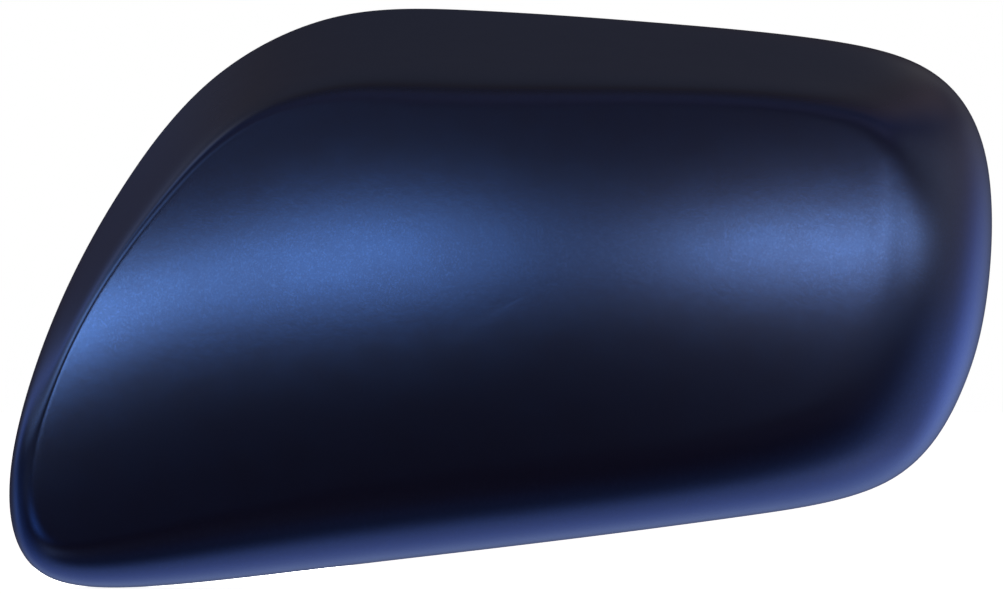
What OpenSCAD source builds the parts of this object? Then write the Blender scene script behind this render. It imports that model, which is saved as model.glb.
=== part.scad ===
// Wing mirror cover: the one-piece moulded cap that closes the front of a door mirror.
// Millimetres. +X is outboard, +Z is up, -Y is the way the car drives. The dome bulges
// towards -Y and its open rim lies in the plane y = 0, which is also where it seats.

/* [Cover] */
// overall width of the cover, inboard to outboard
cover_w = 215; // [180:1:260]
// overall height of the cover
cover_h = 127; // [108:1:155]
// how far the fullest point of the face stands in front of the rim
cover_depth = 60; // [50:1:75]
// thickness of the moulded wall
wall_t = 2.5; // [2:0.1:3.5]
// radius of the face's crown from side to side
crown_side_r = 430; // [350:5:900]
// radius of the face's crown from top to bottom
crown_up_r = 250; // [200:5:600]

/* [Shoulder] */
// width of the sloping shelf along the top, from the rim to the crease
top_shelf_w = 18; // [14:0.5:22]
// width of the steep wall along the inboard side, from the rim to the crease
inner_wall_w = 4.6; // [3.6:0.2:8]
// width of the soft roll at the outboard end
outer_roll_w = 31; // [26:0.5:35]
// width of the soft roll along the bottom
under_roll_w = 20; // [15:0.5:25]

/* [Hooks] */
// width of each snap hook along the rim
hook_w = 10; // [6:0.5:14]
// thickness of a hook's tongue
hook_t = 2; // [1.4:0.1:2.8]
// depth below the rim at which a hook leaves the wall
hook_root = 18; // [14:0.5:22]
// height of the foot that carries a hook
hook_foot = 8; // [5:0.5:11]
// gap between the wall and the root of a hook's tongue
hook_gap = 1.5; // [0.8:0.1:2.5]
// how far a hook's tip stays below the rim
hook_setback = 1.5; // [0.5:0.1:3]
// how far a hook's barb stands out
barb_h = 1.6; // [0.8:0.1:2.2]
// length of a hook's barb
barb_l = 4; // [2.5:0.1:6]

/* [Pins] */
// diameter of the main locating pin
main_pin_d = 6; // [4:0.1:8]
// diameter of the second pin, which stops the cover from turning
turn_pin_d = 5; // [3.5:0.1:8]
// length of both pins above their bosses
pin_l = 14; // [10:0.5:18]
// height of the bevel at a pin's tip
pin_bevel = 1; // [0.5:0.1:1.8]
// how far the pin tips stay below the rim
pin_setback = 2; // [0.5:0.5:4]
// width of the shoulder that a boss leaves around its pin
boss_ledge = 2; // [1:0.1:3]
// thickness of the webs that brace a boss
web_t = 1.8; // [1.2:0.1:2.6]
// how far a web reaches out from its boss
web_reach = 9; // [5:0.5:12]

/* [Ribs] */
// thickness of the stiffening ribs on the inside
rib_t = 1.6; // [1:0.1:2.4]
// height of the stiffening ribs above the inside skin
rib_h = 4; // [2:0.5:7]

/* [Hidden] */
$fn = 48;

// Outline of the rim, as shares of half the width and half the height. The points are
// the control points of a closed cubic curve, anticlockwise from the outboard side.
outline_shares = [
    [0.99, -0.02],   // outboard side, widest
    [1.00, 0.50],
    [0.90, 0.79],    // upper outboard corner
    [0.70, 0.89],
    [0.30, 0.95],    // top edge
    [-0.10, 1.00],
    [-0.35, 1.00],
    [-0.60, 0.78],   // inboard sweep
    [-0.76, 0.42],
    [-0.88, 0.06],
    [-0.96, -0.32],
    [-1.01, -0.71],
    [-0.96, -1.01],  // lower inboard corner
    [-0.74, -1.03],
    [-0.36, -0.95],  // bottom edge
    [0.10, -0.86],
    [0.50, -0.77],
    [0.82, -0.69],   // lower outboard corner
    [0.94, -0.34]
];

// Where a creased wall turns into the face, as a share of the whole shoulder, and how
// far the crease is rounded on either side, as a share of the wall.
crease_share = 0.72;
crease_round_share = 0.3;

// Shoulder at each control point of the outline: its width, then how much of it is a
// roll (1) and not a creased wall (0).
function mix(a, b, b_share) = a * (1 - b_share) + b * b_share;
shelf_w = top_shelf_w / crease_share;
inboard_w = inner_wall_w / crease_share;
shoulder_rows = [
    [outer_roll_w, 1],
    [mix(outer_roll_w, shelf_w, 0.2), 0.9],
    [mix(outer_roll_w, shelf_w, 0.5) * 0.8, 0.6],
    [shelf_w * 0.76, 0.25],
    [shelf_w * 0.82, 0.05],
    [shelf_w, 0],
    [mix(shelf_w, inboard_w, 0.08), 0],
    [mix(shelf_w, inboard_w, 0.5), 0],
    [mix(shelf_w, inboard_w, 0.68), 0],
    [mix(shelf_w, inboard_w, 0.86), 0.2],
    [inboard_w, 1],
    [inboard_w, 1],
    [mix(inboard_w, under_roll_w, 0.25), 1],
    [mix(inboard_w, under_roll_w, 0.68), 1],
    [under_roll_w, 1],
    [under_roll_w, 1],
    [under_roll_w, 1],
    [mix(under_roll_w, outer_roll_w, 0.6), 1],
    [mix(under_roll_w, outer_roll_w, 0.9), 1]
];

// Samples of the curve between two control points.
steps = 6;
around = steps * len(outline_shares);

// Closed uniform cubic B-spline through a table of rows.
function row(table, i) = table[(i + len(table)) % len(table)];
function spline(table, i, t) =
    (pow(1 - t, 3) * row(table, i - 1)
    + (3 * pow(t, 3) - 6 * t * t + 4) * row(table, i)
    + (1 + 3 * t + 3 * t * t - 3 * pow(t, 3)) * row(table, i + 1)
    + pow(t, 3) * row(table, i + 2)) / 6;
function sampled(table) =
    [for (i = [0:len(table) - 1], j = [0:steps - 1]) spline(table, i, j / steps)];

// The curve, stretched so that its true width and height are the cover's.
raw = sampled(outline_shares);
raw_lo = [min([for (p = raw) p.x]), min([for (p = raw) p.y])];
raw_hi = [max([for (p = raw) p.x]), max([for (p = raw) p.y])];
function fitted(v, lo, hi, size) = ((v - lo) / (hi - lo) - 1 / 2) * size;
rim = [for (p = raw) [
    fitted(p.x, raw_lo.x, raw_hi.x, cover_w),
    fitted(p.y, raw_lo.y, raw_hi.y, cover_h)
]];
shoulder = sampled(shoulder_rows);

// Outward direction in the rim plane at each sample.
function unit(v) = v / norm(v);
function chord(k) = rim[(k + 1) % around] - rim[(k + around - 1) % around];
out_dir = [for (k = [0:around - 1]) unit([chord(k).y, -chord(k).x])];

// The hub is where all rings end. The shoulder runs in from the rim along lines that
// lean a little towards it, so that they never cross in the tight corners.
function placed(place_shares) = [place_shares.x * cover_w, place_shares.y * cover_h] / 2;
hub = placed([0.06, 0.02]);
lean_share = 0.5;
in_dir = [for (k = [0:around - 1]) -unit(out_dir[k] + lean_share * unit(rim[k] - hub))];

// Depth of the bare face over a point of the rim plane, for a skin sunk by some
// thickness. Its crest runs across the cover and droops towards the inboard end.
crown_top = placed([-0.12, 0.16]);
crest_slope = 0.035;
crest_droop_share = 0.31;
function crest_z(x) =
    crown_top.y + crest_slope * x
    - crest_droop_share * cover_h / 2 * pow(max(0, -x) / (cover_w / 2), 3);
function face_depth(p, sink) =
    cover_depth - sink
    - pow(p.x - crown_top.x, 2) / (2 * crown_side_r)
    - pow(p.y - crest_z(p.x), 2) / (2 * crown_up_r);

// Share of the face's depth that the skin has reached at a share of its shoulder. A roll
// is upright at the rim and turns evenly into the face, however narrow it is.
roll_power = 2.6;
roll_fill = 1.43;
function creased(wall_share) =
    let(near_share = max(0, crease_round_share - abs(1 - wall_share)) / crease_round_share)
    min(wall_share, 1) - pow(near_share, 3) * crease_round_share / 6;
function rolled(width_share, slender) =
    pow(1 - pow(1 - width_share, roll_power), slender / roll_fill);
function slender(k) = shoulder[k][0] / face_depth(rim[k], 0);
function risen(k, width_share) =
    mix(creased(width_share / crease_share), rolled(width_share, slender(k)), shoulder[k][1]);

// Points of a sunk skin, on its shoulder and then on its way to the hub.
function shoulder_w(k, sink) = shoulder[k][0] * (1 - sink / face_depth(rim[k], 0));
function shoulder_at(k, width_share, sink) =
    rim[k] - sink * out_dir[k] + width_share * shoulder_w(k, sink) * in_dir[k];
function raised(p, depth) = [p.x, -depth, p.y];
function shoulder_point(k, width_share, sink) =
    let(p = shoulder_at(k, width_share, sink))
    raised(p, face_depth(p, sink) * risen(k, width_share));
function face_point(k, hub_share, sink) =
    let(p = mix(shoulder_at(k, 1, sink), hub, hub_share))
    raised(p, face_depth(p, sink));

// Rings of the outside and the inside skin.
outside_ring_shares = [
    0, 0.01, 0.035, 0.08, 0.14, 0.22, 0.31, 0.41, 0.51, 0.6, 0.66, 0.72, 0.78, 0.86, 1
];
inside_ring_shares = [0, 0.015, 0.06, 0.14, 0.25, 0.38, 0.52, 0.64, 0.74, 0.85, 1];
outside_rest = 7;
inside_rest = 6;
outside_rings = len(outside_ring_shares) + outside_rest - 1;
inside_rings = len(inside_ring_shares) + inside_rest - 1;

function skin_points(ring_shares, rest, sink) = concat(
    [for (s = ring_shares, k = [0:around - 1]) shoulder_point(k, s, sink)],
    [for (j = [1:rest - 1], k = [0:around - 1]) face_point(k, j / rest, sink)],
    [raised(hub, face_depth(hub, sink))]
);

// Triangles of a skin whose points start at a given index, facing the way the car drives.
function next(k) = (k + 1) % around;
function skin_faces(start, rings) = concat(
    [for (r = [0:rings - 2], k = [0:around - 1])
        let(a = start + r * around, b = a + around)
        each [[a + k, b + k, a + next(k)], [b + k, b + next(k), a + next(k)]]],
    [for (k = [0:around - 1])
        let(a = start + (rings - 1) * around)
        [a + k, start + rings * around, a + next(k)]]
);
function turned(faces) = [for (f = faces) [f[0], f[2], f[1]]];

// The moulded wall, closed by the flat edge that seats on the housing.
module bare_cover() {
    inside_start = outside_rings * around + 1;
    polyhedron(
        points = concat(
            skin_points(outside_ring_shares, outside_rest, 0),
            skin_points(inside_ring_shares, inside_rest, wall_t)
        ),
        faces = concat(
            skin_faces(0, outside_rings),
            turned(skin_faces(inside_start, inside_rings)),
            [for (k = [0:around - 1]) each [
                [k, next(k), inside_start + k],
                [next(k), inside_start + next(k), inside_start + k]
            ]]
        )
    );
}

// Share of its shoulder at which a sunk skin reaches a depth, found by halving, and how
// far that is inside the rim.
function share_at(k, depth, sink, lo, hi, tries) =
    let(half = (lo + hi) / 2)
    tries == 0 ? half
    : -shoulder_point(k, half, sink).y < depth
        ? share_at(k, depth, sink, half, hi, tries - 1)
        : share_at(k, depth, sink, lo, half, tries - 1);
halvings = 24;
function wall_inward(k, depth, sink) =
    let(width_share = share_at(k, depth, sink, 0, 1, halvings))
    (rim[k] - shoulder_at(k, width_share, sink)) * out_dir[k];

// Places things at a rim sample: X goes inward, Y along the cover's own Y.
module at_rim(k) {
    inward = -out_dir[k];
    multmatrix([
        [inward.x, 0, -inward.y, rim[k].x],
        [0, 1, 0, 0],
        [inward.y, 0, inward.x, rim[k].y],
        [0, 0, 0, 1]
    ])
        children();
}

// Snap hooks, placed as shares of the way round the outline.
hook_shares = [0.035, 0.175, 0.285, 0.42, 0.54, 0.74, 0.845];

module snap_hook(k) {
    foot_y = hook_root + hook_foot;
    tongue_x = wall_inward(k, hook_root, wall_t) + hook_gap;
    barb_x = tongue_x + hook_t;
    catch_y = hook_setback + barb_l;
    at_rim(k)
        linear_extrude(height = hook_w, center = true)
            polygon([
                [tongue_x, -hook_setback],
                [tongue_x, -hook_root],
                [wall_inward(k, hook_root, wall_t / 2), -hook_root],
                [wall_inward(k, foot_y, wall_t / 2), -foot_y],
                [barb_x, -hook_root - hook_t],
                [barb_x, -catch_y],
                [barb_x + barb_h, -catch_y],
                [barb_x, -hook_setback]
            ]);
}

module hooks() {
    for (place_share = hook_shares)
        snap_hook(round(place_share * around));
}

// Locating pins, each on a braced boss that grows out of the face's inside.
main_pin = placed([0.56, 0.12]);
turn_pin = placed([-0.58, -0.22]);

module upright(place, from_depth, to_depth, d_from, d_to) {
    translate([place.x, -from_depth, place.y])
        rotate([-90, 0, 0])
            cylinder(h = from_depth - to_depth, d1 = d_from, d2 = d_to);
}

// One web, in the plane that turns about the boss by the given angle.
module web(place, angle, tip_depth) {
    along = [cos(angle), sin(angle)];
    end = place + web_reach * along;
    translate([place.x, 0, place.y])
        rotate([0, -angle, 0])
            linear_extrude(height = web_t, center = true)
                polygon([
                    [0, -tip_depth],
                    [0, -face_depth(place, wall_t / 2)],
                    [web_reach, -face_depth(end, wall_t / 2)],
                    [web_reach, -face_depth(end, wall_t + rib_h)]
                ]);
}

module braced_pin(place, pin_d) {
    tip = pin_setback + pin_l;
    boss_d = pin_d + 2 * boss_ledge;
    upright(place, face_depth(place, wall_t / 2), tip, boss_d, boss_d);
    upright(place, tip + web_t, pin_setback + pin_bevel, pin_d, pin_d);
    upright(place, pin_setback + pin_bevel, pin_setback, pin_d, pin_d - 2 * pin_bevel);
    for (angle = [45:90:315])
        web(place, angle, tip + web_t);
}

module pins() {
    braced_pin(main_pin, main_pin_d);
    braced_pin(turn_pin, turn_pin_d);
}

// Stiffening ribs that follow the inside of the face, across it and up it.
cross_rib_shares = [-0.32, 0.34];
upright_rib_shares = [-0.3, 0, 0.3];
cross_rib_reach_share = 0.55;
upright_rib_reach_share = 0.42;
rib_steps = 12;

function along(reach) = [for (j = [0:rib_steps]) mix(-reach, reach, j / rib_steps)];
function rib_outline(path, at) = concat(
    [for (j = [0:rib_steps]) [path[j], -face_depth(at[j], wall_t / 2)]],
    [for (j = [rib_steps:-1:0]) [path[j], -face_depth(at[j], wall_t + rib_h)]]
);

module cross_rib(z) {
    path = along(cross_rib_reach_share * cover_w / 2);
    translate([0, 0, z])
        linear_extrude(height = rib_t, center = true)
            polygon(rib_outline(path, [for (x = path) [x, z]]));
}

module upright_rib(x) {
    path = along(upright_rib_reach_share * cover_h / 2);
    translate([x, 0, 0])
        rotate([0, -90, 0])
            linear_extrude(height = rib_t, center = true)
                polygon(rib_outline(path, [for (z = path) [x, z]]));
}

module ribs() {
    for (z_share = cross_rib_shares)
        cross_rib(z_share * cover_h / 2);
    for (x_share = upright_rib_shares)
        upright_rib(x_share * cover_w / 2);
}

module mirror_cover() {
    color([0.16, 0.22, 0.42])
        union() {
            bare_cover();
            hooks();
            pins();
            ribs();
        }
}

mirror_cover();
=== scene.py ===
# Wing mirror cover on a plain pale floor: the painted, moulded cap of a door mirror.
# Metres, in the frame of the CAD model: +X outboard, +Z up, the dome bulges to -Y.
import math

import bmesh
import bpy
import numpy as np
from mathutils import Matrix, Vector


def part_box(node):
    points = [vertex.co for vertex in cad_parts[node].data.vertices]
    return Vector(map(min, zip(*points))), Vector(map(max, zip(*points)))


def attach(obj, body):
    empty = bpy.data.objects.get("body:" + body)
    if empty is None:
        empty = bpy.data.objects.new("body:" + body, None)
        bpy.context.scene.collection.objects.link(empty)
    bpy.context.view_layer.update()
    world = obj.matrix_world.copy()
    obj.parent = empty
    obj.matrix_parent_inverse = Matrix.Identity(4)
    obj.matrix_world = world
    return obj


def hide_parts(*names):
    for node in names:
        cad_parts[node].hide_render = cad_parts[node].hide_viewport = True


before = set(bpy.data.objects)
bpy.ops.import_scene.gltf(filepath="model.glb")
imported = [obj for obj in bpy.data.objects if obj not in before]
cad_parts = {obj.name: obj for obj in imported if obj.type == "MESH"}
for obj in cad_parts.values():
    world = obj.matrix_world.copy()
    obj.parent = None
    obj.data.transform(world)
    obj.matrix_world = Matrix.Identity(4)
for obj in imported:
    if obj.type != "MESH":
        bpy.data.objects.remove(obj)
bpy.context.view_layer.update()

MM = 0.001

# Size of the cover, from the frame. Its rim lies in the plane y = 0.
LOW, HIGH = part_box("mirror_cover")
WIDTH = HIGH[0] - LOW[0]
HEIGHT = HIGH[2] - LOW[2]
DEPTH = -LOW[1]
WALL = 2.5 * MM

# Shoulder between the rim and the face: its widths, how far across it the crease lies,
# how much of the way the crease is rounded, and the curve of the rolls.
TOP_SHELF = 18 * MM
INNER_WALL = 4.6 * MM
OUTER_ROLL = 31 * MM
UNDER_ROLL = 20 * MM
CREASE_SHARE = 0.72
CREASE_ROUND = 0.3
ROLL_POWER, ROLL_FILL = 2.6, 1.43
EDGE_ROUND = 0.35 * MM

# How the face is domed: two radii, the slope of its crest and how far that droops at the
# inboard end. The hub is where the inner rings end, and the top is the dome's highest
# place. Both are shares of half the width and half the height.
CROWN_SIDE_R = 430 * MM
CROWN_UP_R = 250 * MM
CREST_SLOPE = 0.035
CREST_DROOP_SHARE = 0.31
HUB_SHARES, TOP_SHARES = [0.06, 0.02], [-0.12, 0.16]
LEAN = 0.5   # how far the shoulder's way in leans towards the hub

# How finely the surface is sampled: steps between two control points, then rings across
# the shoulder and over the face, outside and inside, and rings of a rounded edge. The
# halvings are those of the search for a depth.
STEPS = 18
SHOULDER_RINGS, FACE_RINGS = 64, 22
INNER_SHOULDER_RINGS, INNER_FACE_RINGS = 42, 14
EDGE_RINGS = 5
HALVINGS = 30

# Outline of the rim, as shares of half the width and half the height: the control
# points of a closed cubic curve, anticlockwise from the outboard side.
OUTLINE = [
    (0.99, -0.02), (1.00, 0.50),                                        # outboard side
    (0.90, 0.79), (0.70, 0.89),                                         # upper corner
    (0.30, 0.95), (-0.10, 1.00), (-0.35, 1.00),                         # top edge
    (-0.60, 0.78), (-0.76, 0.42), (-0.88, 0.06), (-0.96, -0.32),        # inboard sweep
    (-1.01, -0.71), (-0.96, -1.01), (-0.74, -1.03),                     # lower corner
    (-0.36, -0.95), (0.10, -0.86), (0.50, -0.77),                       # bottom edge
    (0.82, -0.69), (0.94, -0.34),                                       # lower outboard
]


def mix(a, b, share):
    return a * (1 - share) + b * share


def shoulder_rows():
    """Width of the shoulder and how round it is, at each control point."""
    shelf, inboard = TOP_SHELF / CREASE_SHARE, INNER_WALL / CREASE_SHARE
    return [
        (OUTER_ROLL, 1), (mix(OUTER_ROLL, shelf, 0.2), 0.9),
        (mix(OUTER_ROLL, shelf, 0.5) * 0.8, 0.6), (shelf * 0.76, 0.25),
        (shelf * 0.82, 0.05), (shelf, 0), (mix(shelf, inboard, 0.08), 0),
        (mix(shelf, inboard, 0.5), 0), (mix(shelf, inboard, 0.68), 0),
        (mix(shelf, inboard, 0.86), 0.2), (inboard, 1), (inboard, 1),
        (mix(inboard, UNDER_ROLL, 0.25), 1), (mix(inboard, UNDER_ROLL, 0.68), 1),
        (UNDER_ROLL, 1), (UNDER_ROLL, 1), (UNDER_ROLL, 1),
        (mix(UNDER_ROLL, OUTER_ROLL, 0.6), 1), (mix(UNDER_ROLL, OUTER_ROLL, 0.9), 1),
    ]


def sampled(rows):
    """Points of the closed uniform cubic B-spline that the rows control."""
    rows = np.array(rows, float)
    t = (np.arange(STEPS) / STEPS)[None, :, None]
    parts = (
        (1 - t) ** 3 * np.roll(rows, 1, 0)[:, None]
        + (3 * t ** 3 - 6 * t ** 2 + 4) * rows[:, None]
        + (1 + 3 * t + 3 * t ** 2 - 3 * t ** 3) * np.roll(rows, -1, 0)[:, None]
        + t ** 3 * np.roll(rows, -2, 0)[:, None]
    )
    return parts.reshape(-1, rows.shape[1]) / 6


def unit(v):
    return v / np.linalg.norm(v, axis=-1, keepdims=True)


class Surface:
    """The cover's skins, by the same rules as the CAD model."""

    def __init__(self):
        raw = sampled(OUTLINE)
        low, high = raw.min(0), raw.max(0)
        self.rim = ((raw - low) / (high - low) - 0.5) * [WIDTH, HEIGHT]
        self.width, self.roundness = sampled(shoulder_rows()).T
        chord = np.roll(self.rim, -1, 0) - np.roll(self.rim, 1, 0)
        self.out = unit(np.stack([chord[:, 1], -chord[:, 0]], 1))
        half = np.array([WIDTH, HEIGHT]) / 2
        self.hub = half * HUB_SHARES
        self.top = half * TOP_SHARES
        self.inward = -unit(self.out + LEAN * unit(self.rim - self.hub))
        self.slender = self.width / self.depth(self.rim, 0)

    def depth(self, p, sink):
        """Depth of the dome below the rim's plane, for the skin sunk by so much."""
        x, z = p[..., 0], p[..., 1]
        droop = CREST_DROOP_SHARE * HEIGHT / 2 * (np.maximum(0, -x) / (WIDTH / 2)) ** 3
        crest = self.top[1] + CREST_SLOPE * x - droop
        return (DEPTH - sink - (x - self.top[0]) ** 2 / (2 * CROWN_SIDE_R)
                - (z - crest) ** 2 / (2 * CROWN_UP_R))

    def risen(self, share):
        """Share of that depth reached at a share of the way across the shoulder."""
        wall = share / CREASE_SHARE
        near = np.maximum(0, CREASE_ROUND - abs(1 - wall)) / CREASE_ROUND
        creased = np.minimum(wall, 1) - near ** 3 * CREASE_ROUND / 6
        rolled = (1 - (1 - share) ** ROLL_POWER) ** (self.slender / ROLL_FILL)
        return mix(creased, rolled, self.roundness)

    def foot(self, share, sink):
        """Place in the rim's plane at a share of the way across the shoulder."""
        reach = self.width * (1 - sink / self.depth(self.rim, 0))
        return self.rim - sink * self.out + (share * reach)[:, None] * self.inward

    def ring(self, share, sink):
        p = self.foot(share, sink)
        return lifted(p, self.depth(p, sink) * self.risen(share))

    def face_ring(self, share, sink):
        p = mix(self.foot(1, sink), self.hub, share)
        return lifted(p, self.depth(p, sink))


def lifted(p, depth):
    """Points of the rim's plane, moved to a depth."""
    return np.stack([p[..., 0], 0 * p[..., 0] - depth, p[..., 1]], -1)


# Details of the inside, which repeat those of the CAD model. Hooks sit at shares of the
# way round the rim, pins and ribs at shares of half the width and half the height.
HOOK_SHARES = [0.035, 0.175, 0.285, 0.42, 0.54, 0.74, 0.845]
HOOK_WIDTH, HOOK_THICK = 10 * MM, 2 * MM
HOOK_ROOT, HOOK_FOOT, HOOK_SETBACK = 18 * MM, 8 * MM, 1.5 * MM
HOOK_GAP = 1.5 * MM
BARB_OUT, BARB_LONG = 1.6 * MM, 4 * MM
CAD_STEPS = 6   # steps between two control points in the CAD model
MAIN_PIN = ((0.56, 0.12), 6 * MM)
TURN_PIN = ((-0.58, -0.22), 5 * MM)
PIN_LONG, PIN_BEVEL, PIN_SETBACK = 14 * MM, 1 * MM, 2 * MM
BOSS_LEDGE = 2 * MM
WEB_THICK, WEB_REACH, WEB_ANGLES = 1.8 * MM, 9 * MM, [45, 135, 225, 315]
RIB_THICK, RIB_HIGH = 1.6 * MM, 4 * MM
CROSS_RIBS, CROSS_REACH = [-0.32, 0.34], 0.55
UPRIGHT_RIBS, UPRIGHT_REACH = [-0.3, 0, 0.3], 0.42
RIB_STEPS = 24
POST_SIDES = 48
SOFT_EDGE = 0.25 * MM
SOFT_EDGE_SHARE = 0.3   # how far in the middle of a post's rounded edge lies
SOFTEN_ABOVE, SMOOTH_BELOW = math.radians(20), math.radians(35)

surface = Surface()
AROUND = len(surface.rim)
PAINTED, BARE = 0, 1


def share_at_depth(depth, sink):
    """Share of the shoulder at which a sunk skin reaches a depth, at every sample."""
    low, high = np.zeros(AROUND), np.ones(AROUND)
    for _ in range(HALVINGS):
        half = (low + high) / 2
        reached = surface.depth(surface.foot(half, sink), sink) * surface.risen(half)
        low = np.where(reached < depth, half, low)
        high = np.where(reached < depth, high, half)
    return (low + high) / 2


def soft_corner(corner, one, other):
    """Rings of a rounded corner, from one skin to the other."""
    t = np.linspace(0, 1, EDGE_RINGS)
    return [(1 - s) ** 2 * one + 2 * s * (1 - s) * corner + s ** 2 * other for s in t]


def skin(sink, shoulder_rings, face_rings):
    """Rings of one skin from its edge at the rim to the hub, closest near the rim."""
    start = share_at_depth(EDGE_ROUND, sink)
    rings = [lifted(surface.foot(start, sink), EDGE_ROUND)]
    rings += [surface.ring(mix(start, 1.0, (j / shoulder_rings) ** 2), sink)
              for j in range(1, shoulder_rings + 1)]
    rings += [surface.face_ring(s, sink) for s in np.arange(1, face_rings) / face_rings]
    hub = lifted(surface.hub, surface.depth(surface.hub, sink))
    return rings, hub


def wall_mesh():
    """The moulded wall: outside, rounded edges, flat rim and inside as one closed mesh."""
    outer, outer_hub = skin(0, SHOULDER_RINGS, FACE_RINGS)
    inner, inner_hub = skin(WALL, INNER_SHOULDER_RINGS, INNER_FACE_RINGS)
    out_edge = lifted(surface.rim, 0)
    in_edge = lifted(surface.rim - WALL * surface.out, 0)
    across = unit(in_edge - out_edge) * EDGE_ROUND
    rings = outer[::-1]
    rings += soft_corner(out_edge, outer[0], out_edge + across)[1:]
    rings += soft_corner(in_edge, in_edge - across, inner[0])[:-1]
    painted_rings = len(rings)
    rings += inner
    points = np.concatenate([outer_hub[None]] + rings + [inner_hub[None]])
    faces, slots = [], []
    last = len(points) - 1
    nxt = [(k + 1) % AROUND for k in range(AROUND)]
    for k in range(AROUND):
        faces.append((0, 1 + nxt[k], 1 + k))
        slots.append(PAINTED)
    for r in range(len(rings) - 1):
        a = 1 + r * AROUND
        b = a + AROUND
        for k in range(AROUND):
            faces.append((a + k, a + nxt[k], b + nxt[k], b + k))
            slots.append(PAINTED if r < painted_rings - 1 else BARE)
    a = 1 + (len(rings) - 1) * AROUND
    for k in range(AROUND):
        faces.append((a + k, a + nxt[k], last))
        slots.append(BARE)
    mesh = bpy.data.meshes.new("wall")
    mesh.from_pydata([tuple(p) for p in points], [], faces)
    mesh.polygons.foreach_set("material_index", slots)
    mesh.update()
    return mesh


def prism(profile, place, thick):
    """A closed profile in two directions, made thick along the third, with soft edges."""
    bm = bmesh.new()
    low = [bm.verts.new(place @ Vector((p[0], p[1], -thick / 2))) for p in profile]
    high = [bm.verts.new(place @ Vector((p[0], p[1], thick / 2))) for p in profile]
    bm.faces.new(low)
    bm.faces.new(high[::-1])
    n = len(profile)
    for i in range(n):
        j = (i + 1) % n
        bm.faces.new((low[j], low[i], high[i], high[j]))
    return finished(bm)


def turned_post(place, stations):
    """A round post along Y from a list of depth and radius, closed at both ends."""
    bm = bmesh.new()
    x, z = place
    turns = [2 * math.pi * i / POST_SIDES for i in range(POST_SIDES)]
    rings = [
        [bm.verts.new((x + radius * math.cos(a), -depth, z + radius * math.sin(a)))
         for a in turns]
        for depth, radius in stations
    ]
    bm.faces.new(rings[0])
    bm.faces.new(rings[-1][::-1])
    for one, other in zip(rings, rings[1:]):
        for i in range(POST_SIDES):
            j = (i + 1) % POST_SIDES
            bm.faces.new((one[i], one[j], other[j], other[i]))
    return finished(bm, soften=False)


def finished(bm, soften=True):
    """The mesh, with its normals outward and, unless it is told not to, soft edges."""
    bmesh.ops.recalc_face_normals(bm, faces=bm.faces)
    if soften:
        sharp = [e for e in bm.edges if e.calc_face_angle(0) > SOFTEN_ABOVE]
        bmesh.ops.bevel(bm, geom=sharp, offset=SOFT_EDGE, segments=2, profile=0.5,
                        affect="EDGES", clamp_overlap=True)
    for f in bm.faces:
        f.material_index = BARE
    mesh = bpy.data.meshes.new("detail")
    bm.to_mesh(mesh)
    bm.free()
    return mesh


def hook(share):
    """A tongue with a barb, at the CAD model's sample nearest to a share of the rim."""
    k = round(share * AROUND * CAD_STEPS / STEPS) * STEPS // CAD_STEPS
    out = surface.out[k]

    def inward(depth, sink):
        """How far in from the rim a skin lies at a depth."""
        foot = surface.foot(share_at_depth(depth, sink), sink)[k]
        return float((surface.rim[k] - foot) @ out)

    tongue = inward(HOOK_ROOT, WALL) + HOOK_GAP
    barb = tongue + HOOK_THICK
    catch = HOOK_SETBACK + BARB_LONG
    foot_y = HOOK_ROOT + HOOK_FOOT
    profile = [
        (tongue, -HOOK_SETBACK), (tongue, -HOOK_ROOT),
        (inward(HOOK_ROOT, WALL / 2), -HOOK_ROOT), (inward(foot_y, WALL / 2), -foot_y),
        (barb, -HOOK_ROOT - HOOK_THICK), (barb, -catch),
        (barb + BARB_OUT, -catch), (barb, -HOOK_SETBACK),
    ]
    place = Matrix((
        (-out[0], 0, out[1], surface.rim[k][0]),
        (0, 1, 0, 0),
        (-out[1], 0, -out[0], surface.rim[k][1]),
        (0, 0, 0, 1),
    ))
    return prism(profile, place, HOOK_WIDTH)


def depth_at(x, z, sink):
    return float(surface.depth(np.array([x, z]), sink))


def braced_pin(pin):
    """A bevelled pin on its boss, and the four webs that brace it."""
    (x_share, z_share), across = pin
    x, z = x_share * WIDTH / 2, z_share * HEIGHT / 2
    tip = PIN_SETBACK + PIN_LONG
    boss = across / 2 + BOSS_LEDGE
    mid = SOFT_EDGE * SOFT_EDGE_SHARE
    yield turned_post((x, z), [
        (depth_at(x, z, WALL / 2), boss), (tip + SOFT_EDGE, boss),
        (tip + mid, boss - mid), (tip, boss - SOFT_EDGE),
        (tip, across / 2), (PIN_SETBACK + PIN_BEVEL, across / 2),
        (PIN_SETBACK, across / 2 - PIN_BEVEL),
    ])
    for a in map(math.radians, WEB_ANGLES):
        end_x, end_z = x + WEB_REACH * math.cos(a), z + WEB_REACH * math.sin(a)
        place = Matrix.Translation((x, 0, z)) @ Matrix.Rotation(-a, 4, "Y")
        yield prism([
            (0, -tip - WEB_THICK), (0, -depth_at(x, z, WALL / 2)),
            (WEB_REACH, -depth_at(end_x, end_z, WALL / 2)),
            (WEB_REACH, -depth_at(end_x, end_z, WALL + RIB_HIGH)),
        ], place, WEB_THICK)


def rib(points, place):
    """A rib on the wall, over points given as (distance along it, x, z)."""
    low = [(s, -depth_at(x, z, WALL / 2)) for s, x, z in points]
    high = [(s, -depth_at(x, z, WALL + RIB_HIGH)) for s, x, z in points[::-1]]
    return prism(low + high, place, RIB_THICK)


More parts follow.
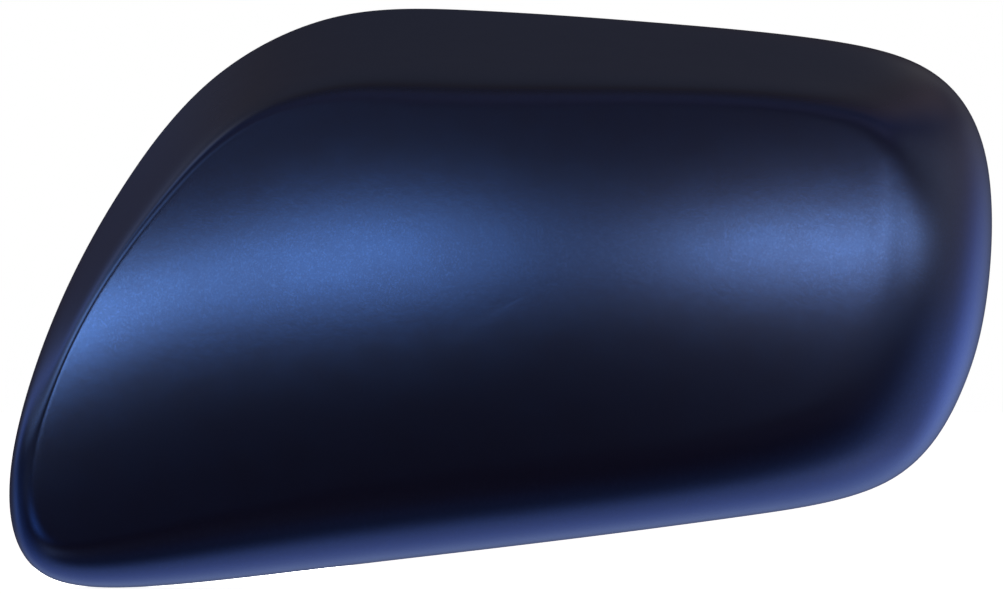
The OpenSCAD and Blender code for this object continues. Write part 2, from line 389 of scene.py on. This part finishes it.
def ribs():
    for share in CROSS_RIBS:
        z = share * HEIGHT / 2
        reach = CROSS_REACH * WIDTH / 2
        along = np.linspace(-reach, reach, RIB_STEPS + 1)
        yield rib([(x, x, z) for x in along], Matrix.Translation((0, 0, z)))
    for share in UPRIGHT_RIBS:
        x = share * WIDTH / 2
        reach = UPRIGHT_REACH * HEIGHT / 2
        along = np.linspace(-reach, reach, RIB_STEPS + 1)
        place = Matrix.Translation((x, 0, 0)) @ Matrix.Rotation(-math.pi / 2, 4, "Y")
        yield rib([(z, x, z) for z in along], place)


def joined(pieces, name):
    """One mesh with the pieces' union, by Boolean modifiers applied in turn."""
    body = bpy.data.objects.new(name, pieces[0])
    bpy.context.scene.collection.objects.link(body)
    for mesh in pieces[1:]:
        tool = bpy.data.objects.new("tool", mesh)
        bpy.context.scene.collection.objects.link(tool)
        union = body.modifiers.new("union", "BOOLEAN")
        union.operation = "UNION"
        union.solver = "MANIFOLD"
        union.object = tool
        bpy.context.view_layer.update()
        graph = bpy.context.evaluated_depsgraph_get()
        done = bpy.data.meshes.new_from_object(body.evaluated_get(graph))
        body.modifiers.clear()
        body.data = done
        bpy.data.objects.remove(tool)
    return body


def build_cover():
    details = [hook(share) for share in HOOK_SHARES]
    details += list(braced_pin(MAIN_PIN)) + list(braced_pin(TURN_PIN)) + list(ribs())
    for mesh in details:
        mesh.materials.append(paint)
        mesh.materials.append(plastic)
    inside = joined(details, "inside_details")
    wall = wall_mesh()
    wall.materials.append(paint)
    wall.materials.append(plastic)
    inside_mesh = inside.data
    bpy.data.objects.remove(inside)
    cover = joined([wall, inside_mesh], "cover")
    cover.data.name = "cover"
    cover.data.polygons.foreach_set("use_smooth", [True] * len(cover.data.polygons))
    cover.data.set_sharp_from_angle(angle=SMOOTH_BELOW)
    return cover


# Nodes

class Tree:
    """Short hand for building a node tree."""

    def __init__(self, tree):
        self.tree = tree

    def feed(self, n, inputs):
        """Link or set a node's inputs, by name or number."""
        for key, value in inputs.items():
            if isinstance(value, bpy.types.NodeSocket):
                self.tree.links.new(value, n.inputs[key])
            else:
                n.inputs[key].default_value = value

    def node(self, kind, inputs, **settings):
        n = self.tree.nodes.new(kind)
        for key, value in settings.items():
            setattr(n, key, value)
        self.feed(n, inputs)
        return n

    def math(self, operation, *values):
        n = self.node("ShaderNodeMath", dict(enumerate(values)), operation=operation)
        return n.outputs[0]

    def noise(self, vector, scale, detail):
        n = self.node("ShaderNodeTexNoise", {
            "Vector": vector, "Scale": scale, "Detail": detail})
        return n.outputs["Fac"]

    def ramp(self, value, low, high, to_low=0.0, to_high=1.0):
        n = self.node("ShaderNodeMapRange", {
            "Value": value, "From Min": low, "From Max": high,
            "To Min": to_low, "To Max": to_high})
        return n.outputs["Result"]

    def blend(self, factor, a, b):
        n = self.node("ShaderNodeMix", {0: factor, 6: a, 7: b}, data_type="RGBA")
        return n.outputs[2]

    def bump(self, height, distance, strength, normal=None):
        inputs = {"Height": height, "Distance": distance, "Strength": strength}
        if normal is not None:
            inputs["Normal"] = normal
        return self.node("ShaderNodeBump", inputs).outputs["Normal"]


def new_material(name):
    mat = bpy.data.materials.new(name)
    mat.use_nodes = True
    return mat, Tree(mat.node_tree), mat.node_tree.nodes["Principled BSDF"]


PAINT_COLOUR, FLAKE_COLOUR = (0.016, 0.065, 0.234, 1), (0.026, 0.090, 0.300, 1)
PAINT_ROUGHNESS = 0.165, 0.190
COAT, COAT_ROUGHNESS, EDGE_TINT = 0.8, 0.22, (0.40, 0.45, 0.65, 1)
# Painted reflection on top: surfaces that face up are painted a dull grey in place of the
# grey reflection from above. Its colour, how metallic it leaves the paint and how much
# rougher it makes it, how far up a surface has to face for the first and the full grey,
# and its ragged edge.
TOP_REFLECTION_COLOUR = (0.012, 0.009, 0.022, 1)
TOP_REFLECTION_METALLIC, TOP_REFLECTION_ROUGHER = 0.12, 0.12
TOP_REFLECTION_FROM, TOP_REFLECTION_FULL, TOP_REFLECTION_RAGGED = 0.50, 0.90, 0.08
PLASTIC_DARK, PLASTIC_LIGHT = (0.017, 0.018, 0.020, 1), (0.023, 0.024, 0.027, 1)
PLASTIC_ROUGHNESS = 0.42, 0.56
# Paint dust on the plastic: how dark it is beside the paint, at which height it fades
# in, where it is full, and its ragged edge.
DUST_SHADE = 0.45
DUST_FROM, DUST_FULL, DUST_RAGGED = -4 * MM, -0.3 * MM, 12 * MM
# Noises: cycles to the metre, and how much finer detail they have.
PAINT_CLOUDS, PAINT_PATCHES, PEEL = (28, 3), (140, 4), (420, 2)
PLASTIC_CLOUDS, PLASTIC_PATCHES = (35, 4), (90, 5)
DUST_SPECKS, GRAIN = (1500, 2), (2600, 3)
FLAKES_TO_METRE = 3600
# Between which values of its noise each texture goes from none to full.
GLINT_RANGE, PAINT_PATCH_RANGE, SPECK_RANGE = (0.55, 1.0), (0.3, 0.7), (0.35, 0.60)
PLASTIC_CLOUD_RANGE, PLASTIC_PATCH_RANGE = (0.3, 0.7), (0.25, 0.75)
# Height and strength of what stands out.
FLAKE_BUMP, PEEL_BUMP, GRAIN_BUMP = (0.01 * MM, 0.25), (0.02 * MM, 0.5), (0.03 * MM, 0.6)


def paint_material():
    """Satin dark blue metallic paint: fine flakes, a faint orange peel and a thin coat.

    Surfaces that face up get a painted reflection: a dull grey, less metallic and rougher,
    which stands in for the grey reflection from above.
    """
    mat, t, bsdf = new_material("painted_cover")
    coord = t.node("ShaderNodeTexCoord", {})
    place = coord.outputs["Object"]
    flakes = t.node("ShaderNodeTexVoronoi", {
        "Vector": place, "Scale": FLAKES_TO_METRE})
    flakes = flakes.outputs["Color"]
    # painted reflection: up-facing surfaces blend to a dull grey in place of the grey
    # reflection from above
    cloud = t.math("MULTIPLY", t.noise(place, *PAINT_CLOUDS), TOP_REFLECTION_RAGGED)
    upward = t.node("ShaderNodeSeparateXYZ", {0: coord.outputs["Normal"]}).outputs["Z"]
    painted_top_reflection = t.ramp(t.math("ADD", upward, cloud), TOP_REFLECTION_FROM, TOP_REFLECTION_FULL)
    base = t.blend(t.ramp(flakes, *GLINT_RANGE), PAINT_COLOUR, FLAKE_COLOUR)
    base = t.blend(painted_top_reflection, base, TOP_REFLECTION_COLOUR)
    metal = t.ramp(painted_top_reflection, 0.0, 1.0, 1.0, TOP_REFLECTION_METALLIC)
    bsdf.inputs["Coat Weight"].default_value = COAT
    bsdf.inputs["Coat Roughness"].default_value = COAT_ROUGHNESS
    bsdf.inputs["Specular Tint"].default_value = EDGE_TINT
    patches = t.noise(place, *PAINT_PATCHES)
    rough = t.ramp(patches, *PAINT_PATCH_RANGE, *PAINT_ROUGHNESS)
    # the painted grey reflection on top also makes the paint rougher there
    rough = t.math("ADD", rough, t.math("MULTIPLY", painted_top_reflection, TOP_REFLECTION_ROUGHER))
    peel = t.bump(t.noise(place, *PEEL), *PEEL_BUMP)
    grain = t.bump(flakes, *FLAKE_BUMP, peel)
    t.feed(bsdf, {
        "Base Color": base, "Roughness": rough, "Normal": grain, "Metallic": metal})
    return mat


def plastic_material():
    """Bare dark grey moulded plastic, finely eroded, with paint dust near the rim."""
    mat, t, bsdf = new_material("bare_plastic")
    place = t.node("ShaderNodeTexCoord", {}).outputs["Object"]
    height = t.node("ShaderNodeSeparateXYZ", {0: place}).outputs["Y"]
    cloud = t.noise(place, *PLASTIC_CLOUDS)
    ragged = t.math("MULTIPLY", t.math("SUBTRACT", cloud, 0.5), DUST_RAGGED)
    near_rim = t.ramp(t.math("ADD", height, ragged), DUST_FROM, DUST_FULL)
    dust = t.math("MULTIPLY", near_rim, t.ramp(t.noise(place, *DUST_SPECKS), *SPECK_RANGE))
    grey = t.blend(t.ramp(cloud, *PLASTIC_CLOUD_RANGE), PLASTIC_DARK, PLASTIC_LIGHT)
    colour = t.blend(dust, grey, (*[DUST_SHADE * c for c in PAINT_COLOUR[:3]], 1))
    patches = t.noise(place, *PLASTIC_PATCHES)
    rough = t.ramp(patches, *PLASTIC_PATCH_RANGE, *PLASTIC_ROUGHNESS)
    grain = t.bump(t.noise(place, *GRAIN), *GRAIN_BUMP)
    t.feed(bsdf, {"Base Color": colour, "Roughness": rough, "Normal": grain})
    return mat


# Light

WHITE, COOL, BLUE = (1.0, 1.0, 1.0), (0.42, 0.62, 1.0), (0.38, 0.54, 1.0)
WARM, DUSK, LAMP = (1.0, 0.67, 0.46), (1.0, 0.30, 0.20), (1.0, 0.77, 0.66)
PALE, IVORY, GLOW = (0.66, 0.72, 1.0), (1.0, 0.92, 0.85), (1.0, 0.53, 0.44)
SKY = (0.35, 0.58, 1.0)
# Soft panels of the studio: azimuth from the camera's side, positive to the right, and
# elevation, then half width and half height, all in degrees, then strength and colour.
PANELS = [
    (-24, -0.5, 8, 2.6, 5.5, IVORY),    # left of the camera
    (-6, 0.2, 9.5, 4.0, 2.65, WHITE),   # at the camera
    (21, -0.3, 8, 2.35, 4.6, LAMP),     # right of the camera
    (38, -1.3, 14, 3.0, 3.7, LAMP),     # further right
    (68, -0.9, 23, 3.5, 2.5, LAMP),     # far right
    (56, -10, 28, 7, 0.20, LAMP),       # glow below those on the right
    (48, -27, 30, 13, 0.055, GLOW),     # dim glow below that
    (66, 30, 30, 16, 0.13, GLOW),       # dim glow on the upper right
    (-75, 20, 33, 8, 1.6, IVORY),       # tall strip on the left
    (-130, 20, 20, 6, 0.25, WHITE),     # its far end
    (-144, 10, 12, 8, 0.42, BLUE),      # wall behind on the left
    (-62, -8, 22, 12, 0.10, LAMP),      # dim wall on the left
    (-131, -6, 16, 10, 0.32, COOL),     # low wall behind on the left
    (-98, -8, 22, 12, 0.07, COOL),      # low wall on the left
    (-46, -26, 16, 8, 0.40, COOL),      # strip low on the left
    (-122, 38, 18, 9, 0.42, WHITE),     # strip high on the left
    (-60, -58, 36, 14, 0.18, LAMP),     # ground on the left
    (114, 9, 27, 16, 0.37, WARM),       # dim wall on the right
    (140, 33, 17, 13, 0.13, WARM),      # upper wall behind on the right
    (112, 52, 26, 18, 0.11, GLOW),      # dim upper wall on the right
    (120, -24, 32, 20, 0.16, LAMP),     # low wall on the right
    (116, -14, 18, 8, 0.08, COOL),      # cool band on that wall
    (138, -46, 20, 14, 0.18, LAMP),     # ground on the right
    (158, -27, 14, 11, 0.17, COOL),     # ground behind on the right
    (148, -8, 17, 10, 0.80, BLUE),      # behind on the right
    (148, 9, 14, 8, 0.11, WHITE),       # narrow glow above it
    (180, -16, 55, 9, 0.28, BLUE),      # horizon behind
    (180, -32, 65, 16, 0.42, BLUE),     # ground behind
    (180, -55, 75, 18, 0.34, PALE),     # ground below
    (0, -85, 400, 18, 0.045, PALE),     # dim floor
    (180, 50, 100, 28, 0.090, SKY),     # dim ceiling behind
    (165, 24, 7, 12, 0.07, WHITE),      # low end of that ceiling
    (0, 90, 400, 30, 0.065, IVORY),     # dim ceiling
    (0, 45, 90, 38, 0.170, GLOW),       # dim ceiling in front
    (0, -50, 110, 45, 0.045, DUSK),     # dim floor in front
]
AMBIENT = (0.017, 0.0125, 0.018)
# Small lights close behind the cover: place and size in metres, power in watts.
INSIDE_LIGHTS = [((-0.03, 0.30, 0.035), 0.10, 1.6), ((0.05, 0.26, -0.015), 0.06, 0.5)]
INSIDE_AIM = (0, -0.03, 0)
FLOOR_HALF, FLOOR_GREY, FLOOR_GLOW = 6.0, 0.9, 0.95


def make_world():
    """The panels, added up by direction. The camera itself sees plain white."""
    world = bpy.data.worlds.new("studio")
    bpy.context.scene.world = world
    world.use_nodes = True
    world.node_tree.nodes.clear()
    t = Tree(world.node_tree)
    ray = t.node("ShaderNodeTexCoord", {}).outputs["Generated"]
    axes = t.node("ShaderNodeSeparateXYZ", {0: ray}).outputs
    ahead = t.math("ARCTAN2", axes["X"], t.math("MULTIPLY", axes["Y"], -1.0))
    behind = t.math("ARCTAN2", axes["X"], axes["Y"])
    height = t.math("ARCSINE", axes["Z"])

    def square(angle, centre, half):
        off = t.math("MULTIPLY_ADD", angle, 1 / math.radians(half), -centre / half)
        return t.math("MULTIPLY", off, off)

    total = AMBIENT
    for azimuth, elevation, wide, high, strength, colour in PANELS:
        if abs(azimuth) > 90:
            side = square(behind, math.copysign(180 - abs(azimuth), azimuth), wide)
        else:
            side = square(ahead, azimuth, wide)
        level = t.math("EXPONENT", t.math(
            "MULTIPLY", t.math("ADD", side, square(height, elevation, high)), -1.0))
        total = t.node("ShaderNodeVectorMath", {
            0: tuple(strength * c for c in colour), 1: level, 2: total,
        }, operation="MULTIPLY_ADD").outputs[0]
    studio = t.node("ShaderNodeBackground", {"Color": total, "Strength": 1.0})
    white = t.node("ShaderNodeBackground", {"Color": (1, 1, 1, 1), "Strength": 1.0})
    seen = t.node("ShaderNodeLightPath", {}).outputs["Is Camera Ray"]
    both = t.node("ShaderNodeMixShader", {
        0: seen, 1: studio.outputs[0], 2: white.outputs[0]})
    t.node("ShaderNodeOutputWorld", {"Surface": both.outputs[0]})


def make_inside_light(place, size, power):
    """A round light behind the cover, which only its hollow side can see."""
    data = bpy.data.lights.new("inside_light", "AREA")
    data.shape, data.size, data.energy = "DISK", size, power
    light = bpy.data.objects.new("inside_light", data)
    light.location = place
    aim = Vector(INSIDE_AIM) - light.location
    light.rotation_euler = aim.to_track_quat("-Z", "Y").to_euler()
    light.visible_camera = False
    bpy.context.scene.collection.objects.link(light)


def make_floor():
    """A pale floor under the cover, which neither shades nor lights it."""
    mesh = bpy.data.meshes.new("floor")
    corners = [(-1, -1), (1, -1), (1, 1), (-1, 1)]
    mesh.from_pydata([(FLOOR_HALF * x, FLOOR_HALF * y, LOW[2]) for x, y in corners],
                     [], [(0, 1, 2, 3)])
    floor = bpy.data.objects.new("floor", mesh)
    bpy.context.scene.collection.objects.link(floor)
    mat, t, bsdf = new_material("floor")
    t.feed(bsdf, {
        "Base Color": (FLOOR_GREY, FLOOR_GREY, FLOOR_GREY, 1), "Roughness": 1.0,
        "Emission Color": (1, 1, 1, 1), "Emission Strength": FLOOR_GLOW})
    mesh.materials.append(mat)
    floor.visible_glossy = False
    floor.visible_diffuse = False
    floor.visible_shadow = False


# Camera: its distance, how wide it sees there, and its place across and up.
CAMERA_AWAY, VIEW_WIDTH = 4.0, 0.2205
CAMERA_X, CAMERA_Z = -0.1 * MM, 0.1 * MM
SENSOR_WIDTH = 36.0
CLIP_START = 50 * MM


def make_camera():
    data = bpy.data.cameras.new("camera")
    data.sensor_width = SENSOR_WIDTH
    data.lens = SENSOR_WIDTH * CAMERA_AWAY / VIEW_WIDTH
    data.clip_start = CLIP_START
    camera = bpy.data.objects.new("camera", data)
    camera.location = (CAMERA_X, -CAMERA_AWAY, CAMERA_Z)
    camera.rotation_euler = (math.pi / 2, 0, 0)
    bpy.context.scene.collection.objects.link(camera)
    bpy.context.scene.camera = camera


make_camera()
paint = paint_material()
plastic = plastic_material()
cover = build_cover()
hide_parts("mirror_cover")
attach(cover, "root")
make_floor()
make_world()
for inside_light in INSIDE_LIGHTS:
    make_inside_light(*inside_light)

view = bpy.context.scene.view_settings
view.view_transform = "Standard"
view.look = "None"
